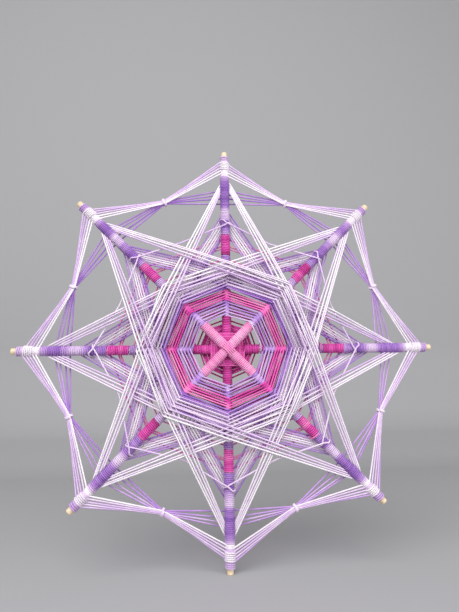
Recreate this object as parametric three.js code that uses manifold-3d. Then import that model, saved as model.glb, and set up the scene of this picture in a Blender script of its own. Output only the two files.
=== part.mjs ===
// Eight-pointed ojo de dios: two wooden crosses, one behind the other, woven together with yarn.
// Millimetres. +X is to the right and +Z is up along the upright dowel. The front looks along -Y.
import * as THREE from 'three';
import { mergeVertices } from 'three/addons/utils/BufferGeometryUtils.js';
import Module from 'manifold-3d';

const wasm = await Module();
wasm.setup();

// Dowels.
const DOWEL_LENGTH = 300;
const DOWEL_DIAMETER = 4.4;
const DOWEL_CHAMFER = 0.4;
const LAP_GAP = 0.3;

// Yarn. A strand keeps SEAT_GAP to what it lies on, and rounds of one strand keep ROUND_GAP.
const YARN_DIAMETER = 1.2;
const SEAT_GAP = 0.3;
const ROUND_GAP = 0.5;

// Places along an arm, measured from the centre.
const EYE_START = 3.4;
const EYE_END = 11;
const SWIRL_START = 1.3;
const BACK_EYE_START = 12.5;
const OCTAGON_START = 24.5;
const MAGENTA_START = 68;
const MAGENTA_END = 83.5;
const BACK_OCTAGON_START = 29;
const BACK_WEB_START = 67;

// Places near the tips, measured back from the end of the dowel.
const BARE_TIP = 4;
const TIP_WINDING_LENGTH = 12.2;
const BUNDLE_INSET = 0.2;
const STAR_TO_BUNDLE = 3;
const TIE_INSET = 33.5;
const BACK_BUNDLE_INSET = 41;

// Stars: the radius of the first round where it turns at its outer and at its inner arms.
const MID_STAR_OUTER = 90.5;
const MID_STAR_INNER = 49.5;
const OUTER_STAR_CROSSING = 58.5;
const OUTER_STAR_INNER = 58.5;
const STAR_OUTER_PITCH = 3.5;
const STAR_INNER_PITCH = 1.9;

// Bundles of strands that run from tip to tip and are tied half way.
const FRONT_BUNDLE_PITCH = 2.9;
const BACK_BUNDLE_PITCH = 4.4;
const TIE_HALF_LENGTH = 2;
const BUNDLE_PITCH = 2;
const TIE_PITCH = 1.7;
const TIE_CORNER = 1;

// The pale accent strand hooks over each arm and dips between the arms.
const ACCENT_HOOK = 94;
const ACCENT_DIP = 81;

// Sleeves and windings.
const SLEEVE_WALL = 0.95;
const WINDING_PITCH = 2.4;
const BACK_OCTAGON_PITCH = 11;
const BACK_WEB_PITCH = 5.5;

// Counts.
const ARM_NAMES = [
  'right', 'upper_right', 'top', 'upper_left', 'left', 'lower_left', 'bottom', 'lower_right',
];
const ARM_COUNT = ARM_NAMES.length;
const STAR_NAMES = ['level', 'rising', 'upright', 'falling'];
const DOWEL_SIDES = 16;
const SLEEVE_SIDES = 12;
const YARN_SIDES = 4;
const WINDING_STEPS = 8;
const EYE_ROUNDS = 5;
const SWIRL_ROUNDS = 2;
const BACK_EYE_ROUNDS = 4;
const LAVENDER_ROUNDS = 5;
const PINK_ROUNDS = 5;
const WHITE_ROUNDS = 5;
const PURPLE_ROUNDS = 4;
const BACK_OCTAGON_ROUNDS = 3;
const BACK_WEB_ROUNDS = 3;
const MID_STAR_ROUNDS = 4;
const OUTER_STAR_ROUNDS = 4;
const FRONT_BUNDLE_ROUNDS = 4;
const BACK_BUNDLE_ROUNDS = 3;
const TIE_TURNS = 2;
const MOST_BENDS = 2;
const QUARTER_TURN = ARM_COUNT / 4;
const HALF_SECTOR = 0.5;

// Shares of a strand's diameter, for how closely its route is looked over for what it must clear.
const SAMPLE_SHARE = 0.625;
const ANCHOR_SHARE = 1.5;
const LEAST_RUN_SHARE = 1.35;

// A turn round the back of an arm, as shares of the strand's distance from the arm's axis: across and back.
const CUT_SHARE = Math.tan(Math.PI / 8);
const TURN_IN_SHARES = [[-1, 0], [-1, CUT_SHARE], [-CUT_SHARE, 1]];
const TURN_OUT_SHARES = [[CUT_SHARE, 1], [1, CUT_SHARE], [1, 0]];

// Sizes that follow from those above.
const YARN_RADIUS = YARN_DIAMETER / 2;
const SAMPLE_STEP = YARN_DIAMETER * SAMPLE_SHARE;
const ANCHOR_REACH = YARN_DIAMETER * ANCHOR_SHARE;
const LEAST_RUN = YARN_DIAMETER * LEAST_RUN_SHARE;
const DOWEL_RADIUS = DOWEL_DIAMETER / 2;
const CROSS_SPACING = DOWEL_DIAMETER + YARN_DIAMETER + 2 * SEAT_GAP;
const ROUND_PITCH = YARN_DIAMETER + ROUND_GAP;
const WEB_PITCH = ROUND_PITCH + ROUND_GAP / 2;
const WINDING_RADIUS = (DOWEL_RADIUS + SEAT_GAP + YARN_RADIUS) / Math.cos(Math.PI / WINDING_STEPS);
const WINDING_OUTER_RADIUS = WINDING_RADIUS + YARN_RADIUS;
const SLEEVE_BORE_RADIUS = (DOWEL_RADIUS + SEAT_GAP) / Math.cos(Math.PI / SLEEVE_SIDES);
const SLEEVE_RADIUS = SLEEVE_BORE_RADIUS + SLEEVE_WALL;
const SLEEVE_START = MAGENTA_END + SEAT_GAP;
const TIP_WINDING_END = DOWEL_LENGTH / 2 - BARE_TIP;
const TIP_WINDING_START = TIP_WINDING_END - TIP_WINDING_LENGTH;
const SLEEVE_END = TIP_WINDING_START - SEAT_GAP;
const FRONT_BUNDLE_START = TIP_WINDING_START + BUNDLE_INSET;
const BACK_BUNDLE_START = DOWEL_LENGTH / 2 - BACK_BUNDLE_INSET;
const TIE_RADIUS = DOWEL_LENGTH / 2 - TIE_INSET;
const OUTER_STAR_OUTER = FRONT_BUNDLE_START - STAR_TO_BUNDLE - OUTER_STAR_ROUNDS * STAR_OUTER_PITCH;
const PINK_START = OCTAGON_START + LAVENDER_ROUNDS * WEB_PITCH;
const WHITE_START = PINK_START + PINK_ROUNDS * WEB_PITCH;
const PURPLE_START = WHITE_START + WHITE_ROUNDS * WEB_PITCH;
const ARM_TURN = 2 * Math.PI / ARM_COUNT;
const FRONT = new THREE.Vector3(0, -1, 0);

const COLOURS = {
  wood: 0xd9c48c,
  white: 0xece6f0,
  lavender: 0xc3a3dc,
  purple: 0x7a4fb0,
  pink: 0xd8479c,
  magenta: 0xb0146a,
};

const object = new THREE.Group();
const nodeNames = [];

function addPiece(name, geometry, colour, parent = object) {
  const material = new THREE.MeshStandardMaterial({ color: COLOURS[colour], roughness: 0.85, metalness: 0 });
  const mesh = new THREE.Mesh(geometry, material);
  mesh.name = name;
  parent.add(mesh);
  nodeNames.push(name);
  return mesh;
}

// Booleans.
function solidFrom(geometry) {
  const bare = geometry.clone();
  bare.deleteAttribute('normal');
  bare.deleteAttribute('uv');
  const merged = mergeVertices(bare);
  const corners = [];
  for (let i = 0; i < merged.index.count; i += 3) {
    const [a, b, c] = [merged.index.getX(i), merged.index.getX(i + 1), merged.index.getX(i + 2)];
    if (a !== b && b !== c && c !== a) {
      corners.push(a, b, c);
    }
  }
  const vertProperties = new Float32Array(merged.attributes.position.array);
  const triVerts = new Uint32Array(corners);
  return new wasm.Manifold(new wasm.Mesh({ numProp: 3, vertProperties, triVerts }));
}

function geometryFrom(solid) {
  const mesh = solid.getMesh();
  const geometry = new THREE.BufferGeometry();
  geometry.setAttribute('position', new THREE.BufferAttribute(new Float32Array(mesh.vertProperties), 3));
  geometry.setIndex(new THREE.BufferAttribute(new Uint32Array(mesh.triVerts), 1));
  geometry.computeVertexNormals();
  return geometry;
}

// One unbroken tube along a route of points. Its section starts square to the reference and never twists.
function tubeGeometry(route, reference) {
  const last = route.length - 1;
  const positions = [];
  const corners = [];
  const side = route[1].clone().sub(route[0]).cross(reference).normalize();
  route.forEach((point, i) => {
    const before = point.clone().sub(route[Math.max(i - 1, 0)]).normalize();
    const after = route[Math.min(i + 1, last)].clone().sub(point).normalize();
    const along = before.clone().add(after).normalize();
    side.addScaledVector(along, -side.dot(along)).normalize();
    const up = along.clone().cross(side);
    const bend = after.clone().sub(before);
    const inner = i > 0 && i < last && bend.length() > 1e-6;
    bend.normalize();
    const stretch = inner ? 1 / along.dot(after) - 1 : 0;
    for (let k = 0; k < YARN_SIDES; k++) {
      const angle = 2 * Math.PI * (k + 0.5) / YARN_SIDES;
      const offset = side.clone().multiplyScalar(Math.cos(angle)).addScaledVector(up, Math.sin(angle));
      offset.addScaledVector(bend, offset.dot(bend) * stretch).multiplyScalar(YARN_RADIUS);
      positions.push(...point.clone().add(offset).toArray());
    }
    side.addScaledVector(after, -side.dot(after)).normalize();
  });
  for (let i = 0; i < last; i++) {
    for (let k = 0; k < YARN_SIDES; k++) {
      const [a, b] = [i * YARN_SIDES + k, i * YARN_SIDES + (k + 1) % YARN_SIDES];
      corners.push(a, b, b + YARN_SIDES, a, b + YARN_SIDES, a + YARN_SIDES);
    }
  }
  const end = last * YARN_SIDES;
  for (let k = 1; k < YARN_SIDES - 1; k++) {
    corners.push(0, k + 1, k, end, end + k, end + k + 1);
  }
  const geometry = new THREE.BufferGeometry();
  geometry.setAttribute('position', new THREE.Float32BufferAttribute(positions, 3));
  geometry.setIndex(corners);
  geometry.computeVertexNormals();
  return geometry;
}

// The least air between turns of one strand, measured between points at least one turn apart.
function leastSelfGap(route, pointsPerTurn) {
  let least = Infinity;
  for (let i = 0; i < route.length; i++) {
    for (let j = i + pointsPerTurn - 1; j < route.length; j++) {
      least = Math.min(least, route[i].distanceTo(route[j]));
    }
  }
  return least - YARN_DIAMETER;
}

// Plan places. An arm index may be a fraction: 0.5 lies half way between arm 0 and arm 1.
function onArm(radius, arm) {
  return new THREE.Vector2(Math.cos(arm * ARM_TURN), Math.sin(arm * ARM_TURN)).multiplyScalar(radius);
}

function armHeight(arm) {
  return arm % 2 === 0 ? -CROSS_SPACING / 2 : CROSS_SPACING / 2;
}

function armRadius(radius) {
  const on = (start, end) => radius > start - YARN_DIAMETER && radius < end + YARN_DIAMETER;
  if (on(MAGENTA_START, MAGENTA_END) || on(TIP_WINDING_START, TIP_WINDING_END)) {
    return WINDING_OUTER_RADIUS;
  }
  return on(SLEEVE_START, SLEEVE_END) ? SLEEVE_RADIUS : DOWEL_RADIUS;
}

function toSpace(place, height) {
  return new THREE.Vector3(place.x, 0, place.y).addScaledVector(FRONT, height);
}

// The yarn laid so far, as straight runs with a plan place and a height at each end.
const laidRuns = [];

function rememberRuns(route) {
  for (let i = 1; i < route.length; i++) {
    const from = new THREE.Vector2(route[i - 1].x, route[i - 1].z);
    const span = new THREE.Vector2(route[i].x, route[i].z).sub(from);
    if (span.length() > YARN_RADIUS) {
      laidRuns.push({ from, span, fromHeight: -route[i - 1].y, toHeight: -route[i].y });
    }
  }
}

function heightOver(place, face) {
  let least = -Infinity;
  for (let arm = 0; arm < ARM_COUNT; arm++) {
    const direction = onArm(1, arm);
    const along = place.dot(direction);
    const across = Math.abs(place.cross(direction));
    const reach = armRadius(along) + SEAT_GAP + YARN_RADIUS;
    if (along > 0 && along < DOWEL_LENGTH / 2 && across < reach) {
      least = Math.max(least, face * armHeight(arm) + Math.sqrt(reach ** 2 - across ** 2));
    }
  }
  const reach = YARN_DIAMETER + SEAT_GAP;
  for (const run of laidRuns) {
    const along = place.clone().sub(run.from).dot(run.span);
    const share = THREE.MathUtils.clamp(along / run.span.lengthSq(), 0, 1);
    const away = place.distanceTo(run.from.clone().addScaledVector(run.span, share));
    if (away < reach) {
      const height = face * THREE.MathUtils.lerp(run.fromHeight, run.toHeight, share);
      least = Math.max(least, height + Math.sqrt(reach ** 2 - away ** 2));
    }
  }
  return least;
}

function alongRoute(places) {
  const lengths = [0];
  for (let i = 1; i < places.length; i++) {
    lengths.push(lengths[i - 1] + places[i].distanceTo(places[i - 1]));
  }
  const at = (distance) => {
    let i = 1;
    while (i < places.length - 1 && lengths[i] < distance) {
      i++;
    }
    const share = (distance - lengths[i - 1]) / (lengths[i] - lengths[i - 1]);
    return places[i - 1].clone().lerp(places[i], share);
  };
  return { lengths, total: lengths.at(-1), at };
}

// A taut strand touches only the corners of the hull over everything that it has to clear.
function upperHull(points) {
  const hull = [];
  for (const point of points) {
    while (hull.length > 1) {
      const [a, b] = hull.slice(-2);
      if ((b[1] - a[1]) * (point[0] - a[0]) > (point[1] - a[1]) * (b[0] - a[0])) {
        break;
      }
      hull.pop();
    }
    hull.push(point);
  }
  return hull;
}

// Two neighbouring bends become one, where the straight runs beside them meet, which only lifts the strand.
function joinBends(hull) {
  while (hull.length - 2 > MOST_BENDS) {
    let best = null;
    for (let i = 1; i < hull.length - 2; i++) {
      const [a, b, c, d] = hull.slice(i - 1, i + 3);
      const slopeIn = (b[1] - a[1]) / (b[0] - a[0]);
      const slopeOut = (d[1] - c[1]) / (d[0] - c[0]);
      const distance = (c[1] - b[1] + slopeIn * b[0] - slopeOut * c[0]) / (slopeIn - slopeOut);
      const height = b[1] + slopeIn * (distance - b[0]);
      const rise = height - THREE.MathUtils.mapLinear(distance, b[0], c[0], b[1], c[1]);
      if (best === null || rise < best.rise) {
        best = { i, rise, point: [distance, height] };
      }
    }
    hull.splice(best.i, 2, best.point);
  }
  return hull;
}

// Lays one strand over the stations that hold it, with free plan corners between them.
// A station may fix the strand's height, where it goes round an arm or through a tie.
function layStrand(stations, face = 1) {
  const holds = stations.filter((station) => station.held);
  const legs = [];
  for (const station of stations) {
    if (legs.length > 0) {
      legs.at(-1).push(station.place);
    }
    if (station.held && station !== stations.at(-1)) {
      legs.push([station.place]);
    }
  }
  const routes = legs.map(alongRoute);
  const heightNear = (route, fromEnd) => {
    let least = -Infinity;
    for (let distance = 0; distance <= ANCHOR_REACH; distance += SAMPLE_STEP / 2) {
      const place = route.at(fromEnd ? route.total - distance : distance);
      least = Math.max(least, heightOver(place, face));
    }
    return least;
  };
  const heldHeights = holds.map((station, i) => {
    const before = i > 0 ? heightNear(routes[i - 1], true) : -Infinity;
    const after = i < routes.length ? heightNear(routes[i], false) : -Infinity;
    return station.height ?? Math.max(before, after);
  });
  const strand = [{ place: legs[0][0], height: heldHeights[0] }];
  routes.forEach((route, i) => {
    const points = [[0, heldHeights[i]]];
    const fixed = holds[i].height !== undefined && holds[i + 1].height !== undefined;
    const steps = fixed ? 0 : Math.ceil(route.total / SAMPLE_STEP);
    for (let k = 1; k < steps; k++) {
      const distance = route.total * k / steps;
      const height = heightOver(route.at(distance), face);
      const fromEnd = Math.min(distance, route.total - distance);
      if (height > -Infinity && fromEnd > LEAST_RUN) {
        points.push([distance, height]);
      }
    }
    points.push([route.total, heldHeights[i + 1]]);
    const hull = joinBends(upperHull(points));
    const heightAt = (distance) => {
      const j = Math.max(hull.findIndex((point) => point[0] >= distance), 1);
      return THREE.MathUtils.mapLinear(distance, hull[j - 1][0], hull[j][0], hull[j - 1][1], hull[j][1]);
    };
    const corners = route.lengths.slice(1, -1);
    const bends = hull.slice(1, -1).map((point) => point[0]);
    const clear = bends.filter((bend) => corners.every((corner) => Math.abs(corner - bend) > LEAST_RUN));
    for (const distance of [...corners, ...clear].sort((a, b) => a - b)) {
      strand.push({ place: route.at(distance), height: heightAt(distance) });
    }
    strand.push({ place: legs[i].at(-1), height: heldHeights[i + 1] });
  });
  const route = strand.map((point) => toSpace(point.place, face * point.height));
  rememberRuns(route);
  return route;
}

function addStrand(name, route, colour) {
  addPiece(name, tubeGeometry(route, FRONT), colour);
}

// Dowels. Each pair crosses in a half lap, so that a cross lies in one plane.
function addDowel(index) {
  const half = DOWEL_LENGTH / 2;
  const outline = [
    [0, -half],
    [DOWEL_RADIUS - DOWEL_CHAMFER, -half],
    [DOWEL_RADIUS, -half + DOWEL_CHAMFER],
    [DOWEL_RADIUS, half - DOWEL_CHAMFER],
    [DOWEL_RADIUS - DOWEL_CHAMFER, half],
    [0, half],
  ].map(([x, y]) => new THREE.Vector2(x, y));
  const round = new THREE.LatheGeometry(outline, DOWEL_SIDES).rotateZ(-Math.PI / 2);
  const notchLength = DOWEL_DIAMETER + 2 * LAP_GAP;
  const notch = new THREE.BoxGeometry(notchLength, DOWEL_DIAMETER, notchLength);
  const openFront = index < 2 ? 1 : -1;
  notch.translate(0, -openFront * (DOWEL_RADIUS - LAP_GAP / 2), 0);
  const lapped = solidFrom(round).subtract(solidFrom(notch));
  const dowel = addPiece(`dowel_${STAR_NAMES[index]}`, geometryFrom(lapped), 'wood');
  dowel.position.copy(toSpace(new THREE.Vector2(), armHeight(index)));
  dowel.rotation.y = -index * ARM_TURN;
}
STAR_NAMES.forEach((_, index) => addDowel(index));

// A square or round spiral in the plane between the crosses, or on the front of the crossing.
function flatSpiral(start, pitch, rounds, turnOffset, cornersPerRound, height) {
  const route = [];
  for (let j = 0; j <= rounds * cornersPerRound; j++) {
    const radius = start + pitch * j / cornersPerRound;
    route.push(toSpace(onArm(radius, turnOffset + j * ARM_COUNT / cornersPerRound), height));
  }
  return route;
}
const EYE_PITCH = (EYE_END - EYE_START) * Math.SQRT2 / EYE_ROUNDS;
const eyeSquare = flatSpiral(EYE_START * Math.SQRT2, EYE_PITCH, EYE_ROUNDS, 1, 4, 0);
rememberRuns(eyeSquare);
addStrand('eye_square', eyeSquare, 'pink');
const SWIRL_HEIGHT = CROSS_SPACING / 2 + DOWEL_RADIUS + SEAT_GAP + YARN_RADIUS;
addStrand('centre_swirl', flatSpiral(SWIRL_START, WEB_PITCH, SWIRL_ROUNDS, 0, 8, SWIRL_HEIGHT), 'magenta');

// Octagon webs: every round is held at every arm.
function layWeb(start, pitch, rounds, face = 1) {
  const stations = [];
  for (let j = 0; j <= rounds * ARM_COUNT; j++) {
    stations.push({ place: onArm(start + pitch * j / ARM_COUNT, j), held: true });
  }
  return layStrand(stations, face);
}

// Far out, a strand goes round the back of the arm, in straight steps that clear the sleeve.
function aroundBack(radius, arm, shares) {
  const reach = SLEEVE_RADIUS + SEAT_GAP + YARN_RADIUS;
  return shares.map(([acrossShare, backShare]) => ({
    place: onArm(radius, arm).add(onArm(reach * acrossShare, arm + QUARTER_TURN)),
    height: armHeight(arm) - reach * backShare,
    held: true,
  }));
}

// Stars: a loop turns at two opposite arms far out, and at the two arms across from them near the middle.
function layStar(firstArm, rounds, star) {
  const stations = [];
  const last = rounds * 4;
  for (let j = 0; j <= last; j++) {
    const arm = firstArm + QUARTER_TURN * j;
    const goesOn = j + 1 <= last;
    if (j % 2 === 0) {
      const shares = [...(j > 0 ? TURN_IN_SHARES : []), ...(goesOn ? TURN_OUT_SHARES : [])];
      stations.push(...aroundBack(star.outer + STAR_OUTER_PITCH * j / 4, arm, shares));
    } else {
      stations.push({ place: onArm(star.inner + STAR_INNER_PITCH * j / 4, arm), held: true });
    }
    if (goesOn) {
      const crossing = star.crossing + STAR_INNER_PITCH * (j + HALF_SECTOR) / 4;
      stations.push({ place: onArm(crossing, arm + 1), held: star.pressed });
    }
  }
  return layStrand(stations);
}

const backEye = layWeb(BACK_EYE_START, ROUND_PITCH, BACK_EYE_ROUNDS, -1);
addStrand('back_eye', backEye, 'pink');
addStrand('octagon_lavender', layWeb(OCTAGON_START, WEB_PITCH, LAVENDER_ROUNDS), 'lavender');
addStrand('octagon_pink', layWeb(PINK_START, WEB_PITCH, PINK_ROUNDS), 'pink');

// Windings and sleeves of each arm, modelled along +X in the arm's own group.
function windingRoute(start, end) {
  const route = [];
  const turns = Math.floor((end - start - YARN_DIAMETER) / WINDING_PITCH);
  const steps = turns * WINDING_STEPS;
  for (let k = 0; k <= steps; k++) {
    const angle = 2 * Math.PI * k / WINDING_STEPS;
    const x = start + YARN_RADIUS + WINDING_PITCH * k / WINDING_STEPS;
    route.push(new THREE.Vector3(x, Math.cos(angle) * WINDING_RADIUS, Math.sin(angle) * WINDING_RADIUS));
  }
  const run = (from, to) => to.clone().sub(from).setLength(YARN_DIAMETER).add(to);
  return [run(route[1], route[0]), ...route, run(route.at(-2), route.at(-1))];
}

function sleeveGeometry(start, end) {
  const outline = [
    [SLEEVE_BORE_RADIUS, start],
    [SLEEVE_RADIUS - SEAT_GAP, start],
    [SLEEVE_RADIUS, start + YARN_RADIUS],
    [SLEEVE_RADIUS, end - YARN_RADIUS],
    [SLEEVE_RADIUS - SEAT_GAP, end],
    [SLEEVE_BORE_RADIUS, end],
    [SLEEVE_BORE_RADIUS, start],
  ].map(([x, y]) => new THREE.Vector2(x, y));
  return new THREE.LatheGeometry(outline, SLEEVE_SIDES).rotateZ(-Math.PI / 2);
}

const ALONG_ARM = new THREE.Vector3(1, 0, 0);
const windingGaps = [];
ARM_NAMES.forEach((name, arm) => {
  const group = new THREE.Group();
  group.position.copy(toSpace(new THREE.Vector2(), armHeight(arm)));
  group.rotation.y = -arm * ARM_TURN;
  object.add(group);
  const magenta = windingRoute(MAGENTA_START, MAGENTA_END);
  const tip = windingRoute(TIP_WINDING_START, TIP_WINDING_END);
  addPiece(`magenta_winding_${name}`, tubeGeometry(magenta, ALONG_ARM), 'magenta', group);
  addPiece(`purple_sleeve_${name}`, sleeveGeometry(SLEEVE_START, SLEEVE_END), 'purple', group);
  addPiece(`tip_winding_${name}`, tubeGeometry(tip, ALONG_ARM), 'white', group);
  windingGaps.push(leastSelfGap(magenta, WINDING_STEPS), leastSelfGap(tip, WINDING_STEPS));
});
console.log(`least gap of a winding to itself: ${Math.min(...windingGaps).toFixed(3)} mm`);

// The mid star, with every strand pressed down to the arms by the octagon that covers it.
const midStar = {
  outer: MID_STAR_OUTER,
  inner: MID_STAR_INNER,
  crossing: Math.SQRT2 / (1 / MID_STAR_OUTER + 1 / MID_STAR_INNER),
  pressed: true,
};
const STAR_FIRST_ARMS = [0, 1, 2, 3];
for (const arm of STAR_FIRST_ARMS) {
  addStrand(`mid_star_${STAR_NAMES[arm]}`, layStar(arm, MID_STAR_ROUNDS, midStar), 'purple');
}
addStrand('octagon_white', layWeb(WHITE_START, WEB_PITCH, WHITE_ROUNDS), 'white');
addStrand('octagon_purple', layWeb(PURPLE_START, WEB_PITCH, PURPLE_ROUNDS), 'purple');

// The accent strand.
const accentStations = [];
for (let arm = 0; arm < ARM_COUNT; arm++) {
  accentStations.push({ place: onArm(ACCENT_HOOK, arm), held: true });
  accentStations.push({ place: onArm(ACCENT_DIP, arm + HALF_SECTOR), held: false });
}
accentStations.push({ place: onArm(ACCENT_HOOK + WEB_PITCH, 0), held: true });
addStrand('accent_strand', layStrand(accentStations), 'lavender');

const outerStar = {
  outer: OUTER_STAR_OUTER,
  inner: OUTER_STAR_INNER,
  crossing: OUTER_STAR_CROSSING,
  pressed: false,
};
for (const arm of STAR_FIRST_ARMS) {
  addStrand(`outer_star_${STAR_NAMES[arm]}`, layStar(arm, OUTER_STAR_ROUNDS, outerStar), 'white');
}
const backOctagon = layWeb(BACK_OCTAGON_START, BACK_OCTAGON_PITCH, BACK_OCTAGON_ROUNDS, -1);
addStrand('back_octagon', backOctagon, 'magenta');
addStrand('back_web', layWeb(BACK_WEB_START, BACK_WEB_PITCH, BACK_WEB_ROUNDS, -1), 'magenta');

// Bundles. At a tie the strands lie in two columns, the front ones above the back ones.
function layBundle(start, pitch, rounds, face) {
  const stations = [];
  for (let j = 0; j <= rounds * ARM_COUNT; j++) {
    stations.push({ place: onArm(start + pitch * j / ARM_COUNT, j), held: true });
    if (j + 1 <= rounds * ARM_COUNT) {
      const round = Math.floor(j / ARM_COUNT);
      const column = round < 2 ? -0.5 : 0.5;
      const height = BUNDLE_PITCH * (round % 2 === 0 ? 0.5 : 1.5);
      const place = onArm(TIE_RADIUS + column * BUNDLE_PITCH, j + HALF_SECTOR);
      const aside = onArm(TIE_HALF_LENGTH, j + HALF_SECTOR + QUARTER_TURN);
      stations.push({ place: place.clone().sub(aside), height, held: true });
      stations.push({ place: place.clone().add(aside), height, held: true });
    }
  }
  return layStrand(stations, face);
}
const frontBundle = layBundle(FRONT_BUNDLE_START, FRONT_BUNDLE_PITCH, FRONT_BUNDLE_ROUNDS, 1);
const backBundle = layBundle(BACK_BUNDLE_START, BACK_BUNDLE_PITCH, BACK_BUNDLE_ROUNDS, -1);
addStrand('front_bundle', frontBundle, 'lavender');
addStrand('back_bundle', backBundle, 'purple');

// Ties, each wound round its bundle between two arms.
function tieRoute(sector) {
  const width = BUNDLE_PITCH / 2 + YARN_DIAMETER + SEAT_GAP;
  const depth = 3 * BUNDLE_PITCH / 2 + YARN_DIAMETER + SEAT_GAP;
  const outline = [
    [width, TIE_CORNER - depth], [width, depth - TIE_CORNER], [width - TIE_CORNER, depth],
    [TIE_CORNER - width, depth], [-width, depth - TIE_CORNER], [-width, TIE_CORNER - depth],
    [TIE_CORNER - width, -depth], [width - TIE_CORNER, -depth],
  ];
  const route = [];
  const steps = TIE_TURNS * outline.length;
  for (let k = 0; k <= steps; k++) {
    const [out, height] = outline[k % outline.length];
    const place = onArm(TIE_RADIUS + out, sector + HALF_SECTOR);
    place.add(onArm(TIE_PITCH * (k / outline.length - TIE_TURNS / 2), sector + HALF_SECTOR + QUARTER_TURN));
    route.push(toSpace(place, height));
  }
  return route;
}
const tieGaps = [];
ARM_NAMES.forEach((_, sector) => {
  const route = tieRoute(sector);
  const aside = onArm(1, sector + HALF_SECTOR + QUARTER_TURN);
  addPiece(`tie_${sector + 1}`, tubeGeometry(route, new THREE.Vector3(aside.x, 0, aside.y)), 'lavender');
  tieGaps.push(leastSelfGap(route, WINDING_STEPS));
});
console.log(`least gap of a tie to itself: ${Math.min(...tieGaps).toFixed(3)} mm`);

// The origin is the middle of the whole piece, front to back as well.
const box = new THREE.Box3().setFromObject(object);
object.position.y = -(box.min.y + box.max.y) / 2;

export default object;
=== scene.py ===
"""Looks of the eight-pointed ojo de dios, with every strand of yarn laid over the ones before it.

The sums are in millimetres, and a piece's mesh is in metres. A plan place is x to the right and z up,
and a height is measured forwards from the plane half way between the two crosses.
"""

import math

import bmesh
import bpy
import numpy as np
from mathutils import Matrix, Vector


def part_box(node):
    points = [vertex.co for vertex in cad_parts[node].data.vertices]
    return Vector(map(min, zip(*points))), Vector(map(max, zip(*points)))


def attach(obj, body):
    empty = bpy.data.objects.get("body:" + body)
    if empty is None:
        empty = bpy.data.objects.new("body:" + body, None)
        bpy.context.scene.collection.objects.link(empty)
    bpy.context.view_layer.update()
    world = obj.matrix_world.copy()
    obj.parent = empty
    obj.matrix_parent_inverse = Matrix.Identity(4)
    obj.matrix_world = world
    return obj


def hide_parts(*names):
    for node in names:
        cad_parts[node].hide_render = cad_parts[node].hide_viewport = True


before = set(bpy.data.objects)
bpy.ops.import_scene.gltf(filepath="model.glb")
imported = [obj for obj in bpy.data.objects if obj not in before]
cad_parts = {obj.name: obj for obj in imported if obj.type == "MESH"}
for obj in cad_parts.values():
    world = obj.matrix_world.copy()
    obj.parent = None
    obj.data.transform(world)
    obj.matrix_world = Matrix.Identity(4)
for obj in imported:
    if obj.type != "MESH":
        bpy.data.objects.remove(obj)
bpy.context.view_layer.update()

MM = 0.001
ARM_NAMES = ["right", "upper_right", "top", "upper_left", "left", "lower_left", "bottom", "lower_right"]
STAR_NAMES = ["level", "rising", "upright", "falling"]
ARMS = len(ARM_NAMES)
TIP = 150.0
chance = np.random.default_rng(8)

# Dowels and yarn. Yarn that is wound on an arm is a little wider than yarn that is pulled taut.
DOWEL_RADIUS = 2.2
YARN_RADIUS = 0.62
WOUND_RADIUS = 0.66
WRAPPED_RADIUS = DOWEL_RADIUS + 2.05 * WOUND_RADIUS
SIDES = 8
SECTION_SWELL = 1.04
STEP = 0.55
TWIST_LENGTH = 3.8

# How far a strand's middle is from the axis of a wound arm and of a bare one.
STRAND_REACH = WRAPPED_RADIUS + YARN_RADIUS
BARE_REACH = DOWEL_RADIUS + YARN_RADIUS

# What a strand has to clear counts from this far on: after a station that it rests on, and after one
# at a fixed height.
REST_MARGIN = 0.2
FIXED_MARGIN = 1.3 * STRAND_REACH

# Windings, as places along an arm. The tip's two coils have a radius of their own.
COIL_PITCH = 1.22
COIL_STEPS = 18
COIL_WANDER = 0.05
COIL_TONE = 0.07
BARE_CENTRE = 11
INNER_STARTS = 11.2, 2.9
MIDDLE_END = 69
MAGENTA_SPAN = 69.3, 84.4
OUTER_SPAN = 84.7, 130.6
CAP_COIL = 142.3, 146.4, 2.9
BAND_COIL = 135.4, 141.6, 3.5

# The octagon web winds outwards. Its radius at some of its rounds, and the stations where its sections
# end. Stations are counted from the right arm, eight to a round.
WEB_ROUNDS = 0, 1, 4.6, 8.6, 9.5, 13.1, 14.4
WEB_RADII = 23.6, 26.2, 34.4, 42.2, 44.6, 53.6, 57.2
WEB_SECTIONS = 37, 69, 105, 115
WEB_EDGE = 0.6
WRAP_SHARE = 0.62
MOST_WRAP = 2.7

# The square eye, as half its width at its first turn and how much each turn adds.
EYE_TURNS = 8
EYE_HALF = 2.6
EYE_PITCH = 1.16

# The stars: rounds, the places at the outer arms, and the places at the arms that a round comes in over
# and at those between, from its first round to its last.
MID_STAR = 7, (84.4, 105.5), (45, 58.5), (43.6, 57.4)
OUTER_STAR_ROUNDS = 4
OUTER_PLACES = {
    "level": (117, 129.6), "rising": (117.6, 129.8), "upright": (120.6, 129.6), "falling": (118, 128.6),
}
INNER_PLACES = 53.8, 56.6, 60.2, 63.2, 64.2
CROSSING_PLACES = 51.6, 54.2, 57.8, 60.8, 61.8

# The accent strand.
HOOK_PLACES = 93.4, 94, 93.8, 91.4, 94.4, 94.4, 94.2, 92.4
ACCENT_DIP = 82

# The webs behind: a start, a pitch and a number of rounds, or the radius of each round.
BACK_EYE = (12.2, 1.15, 6.5), (21.4, 1.2, 0.9)
BACK_OCTAGON = (26, 1.6, 12), (47, 2.4, 6.4)
BACK_WEB_RADII = 68, 76.8, 78.4, 84.2

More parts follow.
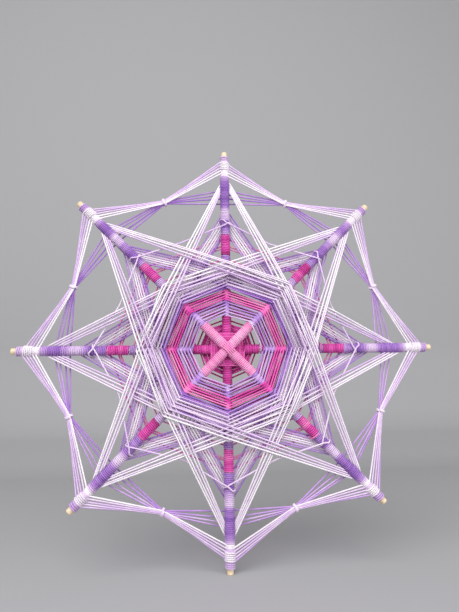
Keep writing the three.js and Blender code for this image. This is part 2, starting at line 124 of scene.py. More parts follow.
# Bundles. A lap has its place in the ties, outwards and forwards, and a back one also its place on the arms.
TIE_PLACE, TIE_HALF = 117.0, 1.9
TIE_OUT, TIE_RISE = 0.4, 0.2
TIE_WIDTH, TIE_DEPTH, TIE_LENGTH = 2.6, 2, 1.4
TIE_TURNS, TIE_STEPS = 2, 24
FRONT_START, FRONT_PITCH, FRONT_SLANT = 131.9, 2.3, 1.1
FRONT_LAPS = (-0.5, 1.3), (0.35, 1.1), (1.2, 1.25), (1.9, 0.8), (1.4, -0.2)
BACK_LAPS = (110.8, -1.2, 0), (114.8, -0.6, 0.7), (119.4, 0.2, 0.4), (122.6, 0.9, 0.7)

# The camera, fitted to the tips of the dowels in the photo.
CAMERA_ANGLES = -4.42, -9.54, -0.94
CAMERA_TARGET = 0.0018, 0, 0.0304
CAMERA_DISTANCE = 0.357
SENSOR = 36
FOCAL_PIXELS = 500
FRAME_HEIGHT = 612


def axis_y(dowel):
    low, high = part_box(dowel)
    return (low[1] + high[1]) / 2 / MM


BACK_AXIS, FRONT_AXIS = axis_y("dowel_level"), axis_y("dowel_rising")
MIDDLE_Y = (BACK_AXIS + FRONT_AXIS) / 2
HALF_SPACING = (BACK_AXIS - FRONT_AXIS) / 2


# Places

def on_arm(radius, arm, across=0.0):
    """The plan place at a radius along an arm and some way across it, towards the next arm.

    An arm may be a fraction.
    """
    angle = arm * 2 * math.pi / ARMS
    along = np.array([math.cos(angle), math.sin(angle)])
    return along * radius + np.array([-along[1], along[0]]) * across


def arm_height(arm):
    """The axis of an arm. The level and the upright dowel make the back cross."""
    return -HALF_SPACING if arm % 2 == 0 else HALF_SPACING


def web_radius(station):
    return np.interp(station / ARMS, WEB_ROUNDS, WEB_RADII)


def web_last(arm):
    """The last station of the octagon web that is on an arm."""
    return WEB_SECTIONS[-1] - (WEB_SECTIONS[-1] - arm) % ARMS


def to_metres(route):
    return np.stack([route[:, 0], MIDDLE_Y - route[:, 2], route[:, 1]], axis=1) * MM


def length_along(route):
    return np.concatenate([[0], np.cumsum(np.linalg.norm(np.diff(route, axis=0), axis=1))])


def spread(share, values):
    """What evenly spread values come to at a share from 0 to 1."""
    return np.interp(share, np.linspace(0, 1, len(values)), values)


def jitter(amount=0.12):
    return chance.normal(0, amount)


# Stations of a strand: it rests on what is under it, it is fixed at a height, or it only turns there.

def rest(place):
    return place, None, True


def fixed(place, height):
    return place, height, True


def turn(place):
    return place, None, False


def round_arm(arm, start, end, first, last, face=1, reach=STRAND_REACH, steps=8):
    """Stations round an arm, from a first to a last angle in degrees.

    Its front is at 0, and its side to the next arm is at 90.
    """
    stations = []
    for share in np.linspace(0, 1, steps + 1):
        angle = math.radians(first + (last - first) * share)
        place = on_arm(start + (end - start) * share, arm, reach * math.sin(angle))
        stations.append(fixed(place, face * (arm_height(arm) + reach * math.cos(angle))))
    return stations


class Loom:
    """Remembers the yarn laid so far as straight runs, and lays each new strand taut over it.

    A strand is laid on the front, with a face of 1, or on the back, with a face of -1.
    """

    def __init__(self):
        self.runs = np.zeros((0, 6))

    def remember(self, route):
        runs = np.hstack([route[:-1], route[1:]])
        longer = np.hypot(runs[:, 3] - runs[:, 0], runs[:, 4] - runs[:, 1]) > YARN_RADIUS / 2
        self.runs = np.vstack([self.runs, runs[longer]])

    def height_over(self, places, face):
        """The least height at which a strand clears the arms and the yarn at some places."""
        heights = np.full(len(places), -np.inf)
        for arm in range(ARMS):
            along, across = places @ on_arm(1, arm), places @ on_arm(1, arm + ARMS / 4)
            bare = (along > WEB_RADII[0] - WEB_EDGE) & (along < WEB_RADII[-1])
            bare |= (arm % 2 == 0) & (along < BARE_CENTRE)
            arm_reach = np.where(bare, BARE_REACH, STRAND_REACH)
            over = (along > 0) & (along < TIP) & (np.abs(across) < arm_reach)
            rise = np.sqrt(np.maximum(arm_reach ** 2 - across ** 2, 0))
            heights = np.where(over, np.maximum(heights, face * arm_height(arm) + rise), heights)
        reach = 2 * YARN_RADIUS
        low, high = places.min(axis=0) - reach, places.max(axis=0) + reach
        runs = self.runs
        near = (np.maximum(runs[:, 0], runs[:, 3]) > low[0]) & (np.minimum(runs[:, 0], runs[:, 3]) < high[0])
        near &= (np.maximum(runs[:, 1], runs[:, 4]) > low[1]) & (np.minimum(runs[:, 1], runs[:, 4]) < high[1])
        runs = runs[near]
        if len(runs):
            start, span = runs[:, 0:2], runs[:, 3:5] - runs[:, 0:2]
            offset = places[:, None, :] - start[None, :, :]
            share = np.clip((offset * span).sum(axis=2) / (span ** 2).sum(axis=1), 0, 1)
            away = ((offset - share[:, :, None] * span) ** 2).sum(axis=2)
            top = face * (runs[:, 2] + share * (runs[:, 5] - runs[:, 2]))
            top = np.where(away < reach ** 2, top + np.sqrt(np.maximum(reach ** 2 - away, 0)), -np.inf)
            heights = np.maximum(heights, top.max(axis=1))
        return heights

    def lay(self, stations, face=1):
        """The route of a strand that is pulled taut from station to station."""
        held = [k for k, station in enumerate(stations) if station[2]]
        heights = {}
        for k in held:
            place, height, _ = stations[k]
            heights[k] = self.height_over(place[None, :], face)[0] if height is None else height
        route = [np.array([*stations[0][0], heights[0]])]
        for first, last in zip(held, held[1:]):
            corners = np.array([stations[k][0] for k in range(first, last + 1)])
            reached = length_along(corners)
            profile = [(0.0, heights[first]), (reached[-1], heights[last])]
            start = REST_MARGIN if stations[first][1] is None else FIXED_MARGIN
            end = reached[-1] - (REST_MARGIN if stations[last][1] is None else FIXED_MARGIN)
            if end > start:
                distances = np.linspace(start, end, max(int((end - start) / YARN_RADIUS), 1) + 1)
                places = np.stack([np.interp(distances, reached, corners[:, i]) for i in (0, 1)], axis=1)
                over = self.height_over(places, face)
                between = [point for point in zip(distances, over) if point[1] > -np.inf]
                profile = upper_hull([profile[0], *between, profile[1]])
            stops = sorted({*reached[1:-1], *[point[0] for point in profile[1:]]})
            for stop in stops:
                height = np.interp(stop, *zip(*profile))
                route.append(np.array([*[np.interp(stop, reached, corners[:, i]) for i in (0, 1)], height]))
        route = np.array(route) * [1, 1, face]
        self.remember(route)
        return route


def upper_hull(points):
    """A taut strand touches only the corners of the hull over all that it has to clear."""
    hull = []
    for point in points:
        while len(hull) > 1:
            (ax, ay), (bx, by) = hull[-2:]
            if (by - ay) * (point[0] - ax) > (point[1] - ay) * (bx - ax):
                break
            hull.pop()
        hull.append(point)
    return hull


def rounded(route, softness=3):
    """Evenly spaced points along a route, with its corners eased as a strand's stiffness eases them."""
    reached = length_along(route)
    along = np.linspace(0, reached[-1], int(reached[-1] / STEP) + 1)
    points = np.stack([np.interp(along, reached, route[:, i]) for i in range(3)], axis=1)
    for _ in range(softness):
        points[1:-1] = (points[:-2] + 2 * points[1:-1] + points[2:]) / 4
    return points


# Shading

class Wire:
    """A shader socket. Ordinary signs on it add Math nodes, and node() adds any other node."""

    def __init__(self, tree, socket=None):
        self.tree, self.socket = tree, socket

    def node(self, kind, settings=None, sockets=None, output=0):
        made = self.tree.nodes.new(kind)
        for name, value in (settings or {}).items():
            if name == "stops":
                ramp = made.color_ramp.elements
                while len(ramp) < len(value):
                    ramp.new(0.5)
                for element, (place, colour) in zip(ramp, value):
                    element.position, element.color = place, (*colour, 1.0)
            else:
                setattr(made, name, value)
        for name, value in (sockets or {}).items():
            if isinstance(value, Wire):
                self.tree.links.new(value.socket, made.inputs[name])
            else:
                made.inputs[name].default_value = value
        return Wire(self.tree, made.outputs[output])

    def sum(self, operation, one, other=0.0):
        return self.node("ShaderNodeMath", {"operation": operation}, {0: one, 1: other})

    def __add__(self, other):
        return self.sum("ADD", self, other)

    def __sub__(self, other):
        return self.sum("SUBTRACT", self, other)

    def __rsub__(self, other):
        return self.sum("SUBTRACT", other, self)

    def __mul__(self, other):
        return self.sum("MULTIPLY", self, other)


def linear(*values):
    """A colour as it looks in the photo, 0 to 255, as the light that a shader wants."""
    return tuple(((v / 255 + 0.055) / 1.055) ** 2.4 if v > 10 else v / 255 / 12.92 for v in values)


# Dyes by tone, from pale to deep, and the wood by its grain.
PURPLE_DYES = [
    (0.0, linear(251, 244, 250)), (0.25, linear(231, 207, 238)), (0.5, linear(206, 168, 227)),
    (0.75, linear(176, 128, 212)), (1.0, linear(138, 86, 188)),
]
PINK_DYES = [
    (0.0, linear(255, 196, 232)), (0.3, linear(252, 150, 206)), (0.65, linear(232, 82, 182)),
    (1.0, linear(160, 24, 100)),
]
BIRCH = [(0.25, linear(200, 174, 136)), (0.5, linear(224, 202, 168)), (0.75, linear(236, 219, 192))]


def new_material(name, sheen=0.0, sheen_tint=(1, 1, 1)):
    material = bpy.data.materials.new(name)
    material.use_nodes = True
    material.node_tree.nodes.clear()
    shader = material.node_tree.nodes.new("ShaderNodeBsdfPrincipled")
    output = material.node_tree.nodes.new("ShaderNodeOutputMaterial")
    material.node_tree.links.new(shader.outputs[0], output.inputs[0])
    shader.inputs["Specular IOR Level"].default_value = 0.25
    shader.inputs["Sheen Weight"].default_value = sheen
    shader.inputs["Sheen Roughness"].default_value = 0.5
    shader.inputs["Sheen Tint"].default_value = (*sheen_tint, 1.0)
    return material, shader, Wire(material.node_tree)


def connect(shader, wires):
    for name, wire in wires.items():
        wire.tree.links.new(wire.socket, shader.inputs[name])


def yarn_material(name, dyes):
    """Hand-dyed yarn of two plies: toned by its strand, mottled, with a grain of fibres, and with painted shade
    in the grooves between the plies and where wound turns touch.
    """
    material, shader, wire = new_material(name, sheen=0.12, sheen_tint=dyes[0][1])
    tone = wire.node("ShaderNodeAttribute", {"attribute_name": "dye"}, output="Fac")
    # Painted shade where a wound strand's turns touch, from 0 to 1.
    crease = wire.node("ShaderNodeAttribute", {"attribute_name": "crease"}, output="Fac")
    strand = wire.node("ShaderNodeUVMap", {"uv_map": "strand"})
    around = wire.node("ShaderNodeSeparateXYZ", sockets={0: strand}, output="X")
    along = wire.node("ShaderNodeSeparateXYZ", sockets={0: strand}, output="Y")
    place = wire.node("ShaderNodeTexCoord", output="Object")
    mottle = wire.node("ShaderNodeTexNoise", {"noise_dimensions": "3D"},
                       {"Vector": place, "Scale": 170.0, "Detail": 2.0})
    lay = wire.node("ShaderNodeCombineXYZ", sockets={0: around * 9.0 + along * 1.1, 1: along * 0.45})
    fibre = wire.node("ShaderNodeTexNoise", {"noise_dimensions": "2D"},
                      {"Vector": lay, "Scale": 1.6, "Detail": 3.0})
    toned = tone + (mottle - 0.5) * 0.3 + (fibre - 0.5) * 0.25
    colour = wire.node("ShaderNodeValToRGB", {"stops": dyes}, {0: toned})
    # Painted shade: darker in the grooves between the two plies, and on wound yarn darker where its turns
    # touch. The fibre grain adds its own real variation of colour.
    ply_groove_shade = wire.sum("COSINE", around * (4 * math.pi))
    fibre_and_painted_shade = (ply_groove_shade * 0.06 + 0.94 + (fibre - 0.5) * 0.16) * (1 - crease * (tone * 0.45 + 0.1))
    shaded = wire.node("ShaderNodeVectorMath", {"operation": "SCALE"}, {0: colour, 3: fibre_and_painted_shade})
    bump = wire.node("ShaderNodeBump", sockets={"Strength": 0.6, "Distance": 0.12 * MM, "Height": fibre})
    connect(shader, {"Base Color": shaded, "Roughness": fibre * 0.2 + 0.74, "Normal": bump})
    return material


def wood_material(name, turned):
    """Pale sanded birch with its grain along the dowel."""
    material, shader, wire = new_material(name)
    place = wire.node("ShaderNodeTexCoord", output="Object")
    stretched = wire.node("ShaderNodeMapping", sockets={
        "Vector": place, "Rotation": (0, turned, 0), "Scale": (60, 900, 900),
    })
    grain = wire.node("ShaderNodeTexNoise", sockets={
        "Vector": stretched, "Scale": 1.0, "Detail": 5.0, "Distortion": 0.4,
    })
    colour = wire.node("ShaderNodeValToRGB", {"stops": BIRCH}, {0: grain})
    bump = wire.node("ShaderNodeBump", sockets={"Strength": 0.4, "Distance": 0.1 * MM, "Height": grain})
    connect(shader, {"Base Color": colour, "Roughness": grain * 0.2 + 0.5, "Normal": bump})
    return material


YARNS = {
    "white_yarn": yarn_material("white yarn", PURPLE_DYES),
    "lavender_yarn": yarn_material("lavender yarn", PURPLE_DYES),
    "purple_yarn": yarn_material("purple yarn", PURPLE_DYES),
    "pink_yarn": yarn_material("pink yarn", PINK_DYES),
    "magenta_yarn": yarn_material("magenta yarn", PINK_DYES),
}
for index, name in enumerate(STAR_NAMES):
    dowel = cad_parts["dowel_" + name]
    wood = wood_material("birch " + name, index * math.pi / 4)
    if not dowel.material_slots:
        dowel.data.materials.append(wood)
    for dowel_slot in dowel.material_slots:
        dowel_slot.material = wood


# Yarn

def section(name, size, groove):
    """The outline of two plies side by side, which is swept along a strand and turned as it goes."""
    curve = bpy.data.curves.new(name, "CURVE")
    spline = curve.splines.new("POLY")
    spline.points.add(SIDES - 1)
    spline.use_cyclic_u = True
    for k, point in enumerate(spline.points):
        angle = 2 * math.pi * k / SIDES
        radius = size * MM * (1 - groove * (1 - math.cos(2 * angle)) / 2) * SECTION_SWELL
        point.co = (radius * math.cos(angle), radius * math.sin(angle), 0, 1)
    made = bpy.data.objects.new(name, curve)
    bpy.context.collection.objects.link(made)
    return made


PLIED = section("plied section", YARN_RADIUS, 0.16)
PRESSED = section("pressed section", WOUND_RADIUS, 0.08)


def swept_mesh(name, routes, outline):
    """The outline swept along each route and twisted, with its ends closed."""
    curve = bpy.data.curves.new(name, "CURVE")
    curve.dimensions = "3D"
    curve.bevel_mode = "OBJECT"
    curve.bevel_object = outline
    for route in routes:
        points = to_metres(route)
        spline = curve.splines.new("POLY")
        spline.points.add(len(points) - 1)
        spline.points.foreach_set("co", np.hstack([points, np.ones((len(points), 1))]).ravel())
        spline.points.foreach_set("tilt", length_along(route) * 2 * math.pi / TWIST_LENGTH)
    swept = bpy.data.objects.new(name, curve)
    bpy.context.collection.objects.link(swept)
    ready = swept.evaluated_get(bpy.context.evaluated_depsgraph_get())
    mesh = bpy.data.meshes.new_from_object(ready)
    bpy.data.objects.remove(swept)
    bpy.data.curves.remove(curve)
    shell = bmesh.new()
    shell.from_mesh(mesh)
    bmesh.ops.holes_fill(shell, edges=[edge for edge in shell.edges if edge.is_boundary], sides=SIDES)
    shell.to_mesh(mesh)
    shell.free()
    mesh.polygons.foreach_set("use_smooth", np.ones(len(mesh.polygons), bool))
    return mesh


def unroll(mesh, along):
    """UVs round the strand, from 0 to 1, and along it. The faces that close the round end at 1."""
    corner_vertex = np.zeros(len(mesh.loops), int)
    mesh.loops.foreach_get("vertex_index", corner_vertex)
    starts, totals = np.zeros(len(mesh.polygons), int), np.zeros(len(mesh.polygons), int)
    mesh.polygons.foreach_get("loop_start", starts)
    mesh.polygons.foreach_get("loop_total", totals)
    side = corner_vertex % SIDES
    quads = starts[totals == 4][:, None] + np.arange(4)
    wraps = quads[side[quads].max(axis=1) == SIDES - 1]
    wraps = wraps[side[wraps].min(axis=1) == 0]
    side = side.astype(float)
    side[wraps] = np.where(side[wraps] == 0, SIDES, side[wraps])
    layer = mesh.uv_layers.get("strand") or mesh.uv_layers.new(name="strand")
    layer.data.foreach_set("uv", np.stack([side / SIDES, along[corner_vertex]], axis=1).ravel())


def set_attribute(mesh, name, values):
    attribute = mesh.attributes.new(name, "FLOAT", "POINT")
    attribute.data.foreach_set("value", values.astype(np.float32))


def per_vertex(values_by_route):
    """Values at the points of each route, for the ring of vertices round each point."""
    return np.repeat(np.concatenate(values_by_route), SIDES, axis=0)


def yarn(name, slot, routes, dyes, nodes=(), wound_on=None):
    """One piece of yarn. Its dyes give the tone at each point of each route, from 0, pale, to 1, deep.

    Yarn that is wound on an arm is pressed flatter, and gets painted shade where its turns touch.
    """
    mesh = swept_mesh(name, routes, PLIED if wound_on is None else PRESSED)
    along = per_vertex([length_along(route) for route in routes])
    if len(along) != len(mesh.vertices):
        raise SystemExit(f"{name}: {len(mesh.vertices)} vertices, and {len(along)} were expected")
    unroll(mesh, along)
    set_attribute(mesh, "dye", per_vertex(dyes))
    # Painted shade: the further a vertex lies to the side of its strand along the arm, towards the neighbouring
    # turns, the more the shader darkens it.
    if wound_on is not None:
        places = np.zeros(3 * len(mesh.vertices))
        mesh.vertices.foreach_get("co", places)
        from_middle = places.reshape(-1, 3)[:, [0, 2]] / MM - per_vertex([route[:, :2] for route in routes])
        aside = from_middle @ on_arm(1, wound_on)
        set_attribute(mesh, "crease", np.clip(np.abs(aside) / WOUND_RADIUS, 0, 1) ** 3)
    mesh.materials.append(YARNS[slot])
    piece = bpy.data.objects.new(name, mesh)
    bpy.context.collection.objects.link(piece)
    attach(piece, "root")
    if nodes:
        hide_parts(*nodes)


def banded(route, tones, swing=0.1, period=260.0):
    """A tone that goes through the given ones along a strand, with a slow swing."""
    along = length_along(route)
    return spread(along / along[-1], tones) + swing * np.sin(along * 2 * math.pi / period + tones[0] * 9)


def strand(name, slot, route, tones, swing=0.1, period=260.0):
    """A piece of one banded strand, which stands for the CAD node of its name."""
    yarn(name, slot, [route], [banded(route, tones, swing, period)], [name])


loom = Loom()


# Windings on the arms

def helix(arm, start, end, radius=WRAPPED_RADIUS - WOUND_RADIUS):
    turns = max(round((end - start) / COIL_PITCH), 1)
    share = np.linspace(0, 1, turns * COIL_STEPS + 1)
    angle = share * turns * 2 * math.pi + math.pi
    wander = np.interp(share * turns, np.arange(turns + 1), chance.normal(0, COIL_WANDER, turns + 1))
    along = start + (end - start) * share + wander
    places = np.array([on_arm(r, arm, radius * math.sin(a)) for r, a in zip(along, angle)])
    return np.column_stack([places, arm_height(arm) + radius * np.cos(angle)])


def wind(name, slot, coil, arm, table, nodes=()):
    """A coil on an arm. Its tone comes from a table by place, and each turn adds a little of its own."""
    places, tones = zip(*table)
    turns = len(coil) // COIL_STEPS + 2
    own = np.interp(np.arange(len(coil)) / COIL_STEPS, np.arange(turns), chance.normal(0, COIL_TONE, turns))
    dye = np.interp(np.hypot(coil[:, 0], coil[:, 1]), places, tones) + own
    yarn(name, slot, [coil], [dye], nodes, arm)


for arm, name in enumerate(ARM_NAMES):
    diagonal = arm % 2 == 1
    inner = helix(arm, INNER_STARTS[diagonal], web_radius(arm) - 0.75)
    # The straight arms' inner windings lie behind the diagonal ones. Their deeper tone is partly their own
    # deeper pink and partly painted shade.
    table = [(3, 0.2), (12, 0.25 + jitter(0.05)), (20, 0.2)] if diagonal else [(11, 0.68), (25, 0.74)]
    wind("inner_winding_" + name, "pink_yarn", inner, arm, table)
    middle = helix(arm, web_radius(web_last(arm)) + 1.3, MIDDLE_END)
    table = [(62, 0.3), (68, 0.45)] if diagonal else [(62, 0.5), (68, 0.7)]
    wind("middle_winding_" + name, "purple_yarn", middle, arm, table)
    magenta = helix(arm, *MAGENTA_SPAN)
    table = [(68, 0.72 + jitter(0.08)), (75, 0.6 + jitter(0.08)), (79, 0.72), (84, 0.6 + jitter(0.08))]
    wind("magenta_winding_" + name, "magenta_yarn", magenta, arm, table, ["magenta_winding_" + name])
    outer = helix(arm, *OUTER_SPAN)
    shift = 0 if arm == 0 else jitter(4)
    table = [(84, 0.6 + jitter(0.1)), (90, 0.72), (95, 0.84), (99 + shift, 0.7), (103 + shift, 0.3),
             (108 + shift, 0.26), (112 + shift, 0.7), (116 + shift, 0.86), (124, 0.8), (128, 0.5), (131, 0.25)]
    wind("purple_winding_" + name, "purple_yarn", outer, arm, table, ["purple_sleeve_" + name])


# The eye in the middle, and the small web that binds the two crosses behind it

def wrapped_web(first, last):
    """Stations of a web that comes over the front of every arm and takes nearly two turns round it."""
    stations = []
    for arm in range(first, last + 1):
        radius = web_radius(arm) + (jitter(0.08) if first < arm < last else 0)
        if arm > 0 and arm == first:
            stations.append(fixed(on_arm(radius + 0.03, arm), arm_height(arm) + BARE_REACH))
        else:
            stations.append(rest(on_arm(radius, arm)))
        if arm < last or last == WEB_SECTIONS[-1]:
            gain = WRAP_SHARE * min(web_radius(arm + ARMS) - web_radius(arm), MOST_WRAP)
            stations += round_arm(arm, radius + 0.05, radius + gain - 0.05, 30, 690, reach=BARE_REACH, steps=22)
            stations.append(rest(on_arm(radius + gain, arm)))
    return stations


def plain_web(radii, face=-1):
    """Stations of a web that only crosses each arm, with its ends tucked round an arm."""
    stations = [rest(on_arm(radius + jitter(), arm)) for arm, radius in enumerate(radii)]
    head = round_arm(0, radii[0] - 1, radii[0], -20, 150, face)[:-1]
    tail = round_arm(len(radii) - 1, radii[-1], radii[-1] + 1, 210, 380, face)[1:]
    return [*head, *stations, *tail]


def even_radii(start, pitch, rounds):
    return [start + pitch * arm / ARMS for arm in range(round(rounds * ARMS) + 1)]


# The eye has its corners behind the diagonal arms, and its sides in front of the straight ones.
square = []
for corner in range(EYE_TURNS * ARMS + 1):
    half = EYE_HALF + EYE_PITCH * corner / ARMS
    if corner % 2 == 1:
        square.append([*on_arm(half * math.sqrt(2), corner), -0.85])
    else:
        square.append([*on_arm(half, corner), -0.2])
square = np.array(square)
loom.remember(square)
strand("eye_square", "pink_yarn", rounded(square, 2), [0.62, 0.68, 0.6, 0.5], 0.06)

# The lashing: passes over the crossing along one diagonal, and then along the other on top of them.
lashing = []
for turned, layer in ((1, 1.3), (3, 3.0)):
    for aside in (-1.7, -0.55, 0.55, 1.7):
        reach = WRAPPED_RADIUS + YARN_RADIUS * layer
        across = on_arm(1, turned + 2) * aside
        loop = []
        for angle in np.radians(np.linspace(-78, 78, 14)):
            sine = math.sin(angle)
            place = on_arm(1, turned) * reach * sine * 1.15 + across * (1 + 0.3 * abs(sine))
            loop.append([*place, HALF_SPACING + reach * math.cos(angle) * 0.93 - 0.15 * abs(aside)])
        lashing.append(rounded(np.array(loop), 1))
yarn("centre_lashing", "magenta_yarn", lashing, [banded(run, [0.2, 0.3], 0.05) for run in lashing],
     ["centre_swirl"])

back_eye = [radius for part in BACK_EYE for radius in even_radii(*part)]
strand("back_eye", "pink_yarn", rounded(loom.lay(plain_web(back_eye), -1)), [0.9, 0.75, 0.95], 0.12)


# Octagon webs, stars and the sparse web behind

def web(name, slot, first, last, tones, swing=0.1):
    strand(name, slot, rounded(loom.lay(wrapped_web(first, last)), 2), tones, swing)


def star_route(first, rounds, outer, inner, crossing, pressed):
    """One loop of a star, out round the back of two opposite arms and in over the two across from them.

    At the arms between, it is pressed down to the arm or only changes its direction.
    """
    stations, last = [], rounds * 4
    for j in range(last + 1):
        arm, share = first + 2 * j, j / last
        if j % 2 == 0:
            radius = outer[0] + (outer[1] - outer[0]) * share + jitter(0.25)
            first_angle, last_angle = (180 if j == 0 else 205), (180 if j == last else 155)
            stations += round_arm(arm % ARMS, radius, radius + 0.3, first_angle, last_angle, steps=4)
        else:
            stations.append(rest(on_arm(spread(share, inner) + jitter(), arm)))
        if j < last:
            place = on_arm(spread((j + 0.5) / last, crossing) + jitter(), arm + 1)
            stations.append(rest(place) if pressed else turn(place))
    return rounded(loom.lay(stations))


web("octagon_lavender", "lavender_yarn", 0, WEB_SECTIONS[0], [0.4, 0.62, 0.5, 0.66, 0.55, 0.68], 0.12)
web("octagon_pink", "pink_yarn", WEB_SECTIONS[0], WEB_SECTIONS[1], [0.54, 0.68, 0.52, 0.46, 0.54])
MID_TONES = {
    "level": [0.9, 0.75, 0.2, 0.1, 0.12, 0.4, 0.65, 0.7],
    "rising": [0.88, 0.7, 0.12, 0.08, 0.16, 0.5, 0.7, 0.5],
    "upright": [0.88, 0.6, 0.1, 0.06, 0.12, 0.2, 0.6, 0.8],
    "falling": [0.9, 0.75, 0.2, 0.1, 0.14, 0.4, 0.6, 0.66],
}
for first, name in enumerate(STAR_NAMES):
    strand("mid_star_" + name, "purple_yarn", star_route(first, *MID_STAR, True), MID_TONES[name], 0.05)
web("octagon_white", "white_yarn", WEB_SECTIONS[1], WEB_SECTIONS[2],
    [0.8, 0.66, 0.42, 0.24, 0.28, 0.2, 0.24, 0.34])
web("octagon_purple", "purple_yarn", WEB_SECTIONS[2], WEB_SECTIONS[3], [0.5, 0.7, 0.6, 0.5])

hooks = []
for arm, place in enumerate(HOOK_PLACES):
    hooks.append(rest(on_arm(place, arm)))
    hooks += round_arm(arm, place + 2.4, place - 0.4, 30, 330, steps=10)
    hooks.append(rest(on_arm(place - 2, arm)))
    hooks.append(turn(on_arm(ACCENT_DIP + jitter(0.6), arm + 0.5)))
hooks.append(rest(on_arm(HOOK_PLACES[0], 0)))
strand("accent_strand", "lavender_yarn", rounded(loom.lay(hooks), 4), [0.22, 0.32, 0.2, 0.28, 0.16], 0.06)

OUTER_TONES = {
    "level": [0.4, 0.28, 0.15, 0.04], "rising": [0.3, 0.12, 0.08, 0.0],
    "upright": [0.24, 0.1, 0.05, 0.0], "falling": [0.36, 0.24, 0.12, 0.02],
}
for first, name in enumerate(STAR_NAMES):
    route = star_route(first, OUTER_STAR_ROUNDS, OUTER_PLACES[name], INNER_PLACES, CROSSING_PLACES, False)
    strand("outer_star_" + name, "white_yarn", route, OUTER_TONES[name], 0.08, 790)

back_octagon = [radius for part in BACK_OCTAGON for radius in even_radii(*part)]
# Its deep tone is partly the web's own magenta and partly painted shade, which darkens the gaps seen through
# the front webs.
strand("back_octagon", "magenta_yarn", rounded(loom.lay(plain_web(back_octagon), -1)),
       [0.88, 1, 0.85, 0.95, 0.8])
back_web = [radius for radius in BACK_WEB_RADII for _ in range(ARMS)]
strand("back_web", "magenta_yarn", rounded(loom.lay(plain_web(back_web), -1)), [0.5, 0.3, 0.35, 0.5])


# Bundles from tip to tip, their ties, and the coils on the tips

def through_tie(sector, out, height, face):
    return [fixed(on_arm(TIE_PLACE + out, sector + 0.5, side), face * height) for side in (-TIE_HALF, TIE_HALF)]


stations, reach = [], DOWEL_RADIUS + YARN_RADIUS * 1.05
for lap, (out, height) in enumerate(FRONT_LAPS):
    for arm in range(ARMS):
        radius = FRONT_START + FRONT_PITCH * lap + jitter(0.1)
        stations += round_arm(arm, radius - FRONT_SLANT, radius + FRONT_SLANT, -62, 782, reach=reach, steps=40)
        stations += through_tie(arm, out, height, 1)
strand("front_bundle", "lavender_yarn", rounded(loom.lay(stations), 2),
       [0.04, 0.03, 0.28, 0.36, 0.3, 0.45], 0.06, 900)

stations = []
for radius, out, height in BACK_LAPS:
    for arm in range(ARMS):
        stations.append(rest(on_arm(radius + jitter(0.4), arm)))
        stations += through_tie(arm, out, height, -1)
strand("back_bundle", "purple_yarn", rounded(loom.lay(stations, -1)), [0.58, 0.72, 0.5, 0.66], 0.12, 700)

for sector in range(ARMS):
    share = np.linspace(0, 1, TIE_TURNS * TIE_STEPS + 1)
    angle = share * TIE_TURNS * 2 * math.pi + 2.2
    outs = TIE_PLACE + TIE_OUT + TIE_WIDTH * np.cos(angle)
    heights = TIE_RISE + TIE_DEPTH * np.sin(angle)
    tie = np.array([[*on_arm(out, sector + 0.5, TIE_LENGTH * (s - 0.5)), height]
                    for out, height, s in zip(outs, heights, share)])
    name = f"tie_{sector + 1}"
    yarn(name, "lavender_yarn", [tie], [np.full(len(tie), 0.14 + jitter(0.03))], [name])

for arm, name in enumerate(ARM_NAMES):
    coils = [helix(arm, *CAP_COIL), helix(arm, *BAND_COIL)]
    tones = [np.full(len(coils[0]), 0.46 + jitter(0.06)), np.full(len(coils[1]), 0.03)]
    yarn("tip_winding_" + name, "white_yarn", coils, tones, ["tip_winding_" + name], arm)

for outline in (PLIED, PRESSED):
    bpy.data.objects.remove(outline)


# Stage, lights and camera

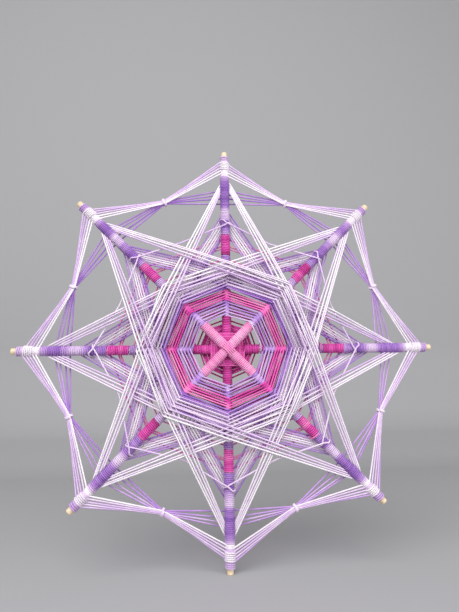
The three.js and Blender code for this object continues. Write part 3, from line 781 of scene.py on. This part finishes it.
shell = bmesh.new()
profile = [(-0.9, -0.15), (0.45, -0.15), (0.62, -0.1), (0.7, 0.02), (0.72, 1.6)]
points = [shell.verts.new((-1.8, y, z)) for y, z in profile]
edges = [shell.edges.new(pair) for pair in zip(points, points[1:])]
swept = bmesh.ops.extrude_edge_only(shell, edges=edges)
far_points = [made for made in swept["geom"] if isinstance(made, bmesh.types.BMVert)]
bmesh.ops.translate(shell, verts=far_points, vec=(3.6, 0, 0))
folds = [e for e in shell.edges if abs(e.verts[0].co.x - e.verts[1].co.x) > 1 and len(e.link_faces) == 2]
bmesh.ops.bevel(shell, geom=folds, offset=0.04, offset_type="OFFSET", affect="EDGES", segments=6,
                profile=0.5, material=-1)
bmesh.ops.recalc_face_normals(shell, faces=shell.faces[:])
cove_mesh = bpy.data.meshes.new("cove")
shell.to_mesh(cove_mesh)
shell.free()
cove_mesh.polygons.foreach_set("use_smooth", np.ones(len(cove_mesh.polygons), bool))
paint, paint_shader, _ = new_material("pale cove")
paint_shader.inputs["Base Color"].default_value = (0.4, 0.4, 0.41, 1)
paint_shader.inputs["Roughness"].default_value = 0.9
cove_mesh.materials.append(paint)
cove = bpy.data.objects.new("cove", cove_mesh)
bpy.context.collection.objects.link(cove)


def soft_light(name, place, size, power):
    light = bpy.data.lights.new(name, "AREA")
    light.shape, light.size, light.energy = "DISK", size, power
    lamp = bpy.data.objects.new(name, light)
    lamp.location = place
    lamp.rotation_euler = (-Vector(place)).to_track_quat("-Z", "Y").to_euler()
    bpy.context.collection.objects.link(lamp)


soft_light("key", (-0.35, -0.9, 0.75), 1.4, 18)
soft_light("fill", (0.9, -0.9, 0.1), 1.0, 8)
world = bpy.data.worlds.new("studio")
bpy.context.scene.world = world
world.use_nodes = True
world.node_tree.nodes["Background"].inputs["Color"].default_value = (0.9, 0.9, 0.92, 1)
world.node_tree.nodes["Background"].inputs["Strength"].default_value = 0.52

azimuth, elevation, roll = (math.radians(angle) for angle in CAMERA_ANGLES)
level = math.cos(elevation)
back = Vector((math.sin(azimuth) * level, -math.cos(azimuth) * level, math.sin(elevation)))
right = Vector((0, 0, 1)).cross(back).normalized()
up = back.cross(right)
right, up = math.cos(roll) * right + math.sin(roll) * up, -math.sin(roll) * right + math.cos(roll) * up
lens = bpy.data.cameras.new("camera")
lens.sensor_width = SENSOR
lens.lens = FOCAL_PIXELS * SENSOR / FRAME_HEIGHT
lens.clip_start = 0.01
camera = bpy.data.objects.new("camera", lens)
turned = Matrix((right, up, back)).transposed().to_4x4()
camera.matrix_world = Matrix.Translation(Vector(CAMERA_TARGET) + back * CAMERA_DISTANCE) @ turned
bpy.context.collection.objects.link(camera)
bpy.context.scene.camera = camera
bpy.context.scene.view_settings.view_transform = "Standard"
